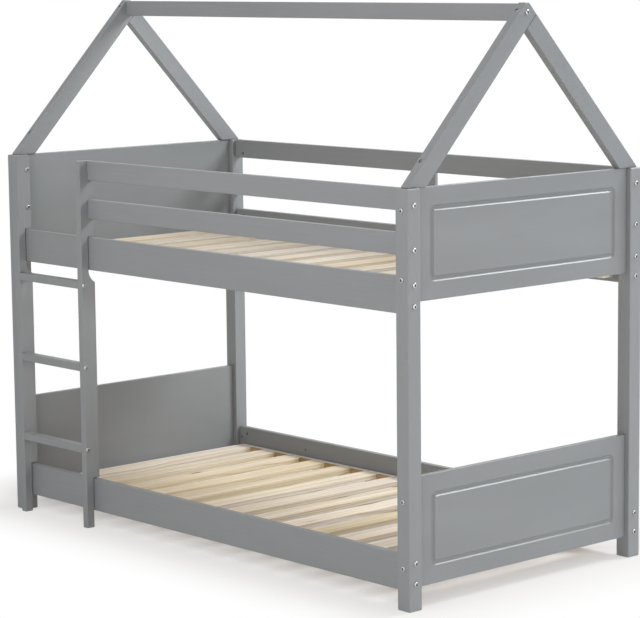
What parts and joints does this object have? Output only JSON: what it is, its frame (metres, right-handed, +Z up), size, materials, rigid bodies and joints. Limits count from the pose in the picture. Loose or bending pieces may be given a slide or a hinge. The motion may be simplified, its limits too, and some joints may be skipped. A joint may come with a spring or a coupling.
{
  "type": "house bunk bed",
  "caption": "Low children's bunk bed of grey painted wood with an open house-shaped roof frame, guard rails, a fixed ladder at one end and slatted pine decks.",
  "frame": {"origin": "middle of the bounding box, on the floor", "axes": "+X from the head to the foot, +Y from the ladder side to the back, +Z up"},
  "size_m": [1.9964, 1.0402, 1.766],
  "materials": {
    "grey_paint": "satin grey paint over pine",
    "pine": "bare sanded pine",
    "zinc": "zinc plated"
  },
  "bodies": {
    "root": {"post_head_front": "grey_paint", "post_head_back": "grey_paint", "post_foot_front": "grey_paint", "post_foot_back": "grey_paint", "lower_headboard": "grey_paint", "lower_footboard": "grey_paint", "upper_headboard": "grey_paint", "upper_footboard": "grey_paint", "lower_side_rail_front": "grey_paint", "lower_side_rail_back": "grey_paint", "upper_side_rail_front": "grey_paint", "upper_side_rail_back": "grey_paint", "lower_guard_rail_front": "grey_paint", "lower_guard_rail_back": "grey_paint", "upper_guard_rail_front": "grey_paint", "upper_guard_rail_back": "grey_paint", "ladder_stile_left": "grey_paint", "ladder_stile_right": "grey_paint", "ladder_rung_1": "grey_paint", "ladder_rung_2": "grey_paint", "ladder_rung_3": "grey_paint", "rafter_head_front": "grey_paint", "rafter_head_back": "grey_paint", "rafter_foot_front": "grey_paint", "rafter_foot_back": "grey_paint", "ridge_beam": "grey_paint", "back_guard_upright": "grey_paint", "lower_slat_01": "pine", "lower_slat_02": "pine", "lower_slat_03": "pine", "lower_slat_04": "pine", "lower_slat_05": "pine", "lower_slat_06": "pine", "lower_slat_07": "pine", "lower_slat_08": "pine", "lower_slat_09": "pine", "lower_slat_10": "pine", "lower_slat_11": "pine", "lower_slat_12": "pine", "lower_slat_13": "pine", "lower_slat_14": "pine", "upper_slat_01": "pine", "upper_slat_02": "pine", "upper_slat_03": "pine", "upper_slat_04": "pine", "upper_slat_05": "pine", "upper_slat_06": "pine", "upper_slat_07": "pine", "upper_slat_08": "pine", "upper_slat_09": "pine", "upper_slat_10": "pine", "upper_slat_11": "pine", "upper_slat_12": "pine", "upper_slat_13": "pine", "upper_slat_14": "pine", "lower_ledger_front": "pine", "lower_ledger_back": "pine", "upper_ledger_front": "pine", "upper_ledger_back": "pine", "bolts_and_nuts": "zinc"}
  },
  "joints": []
}
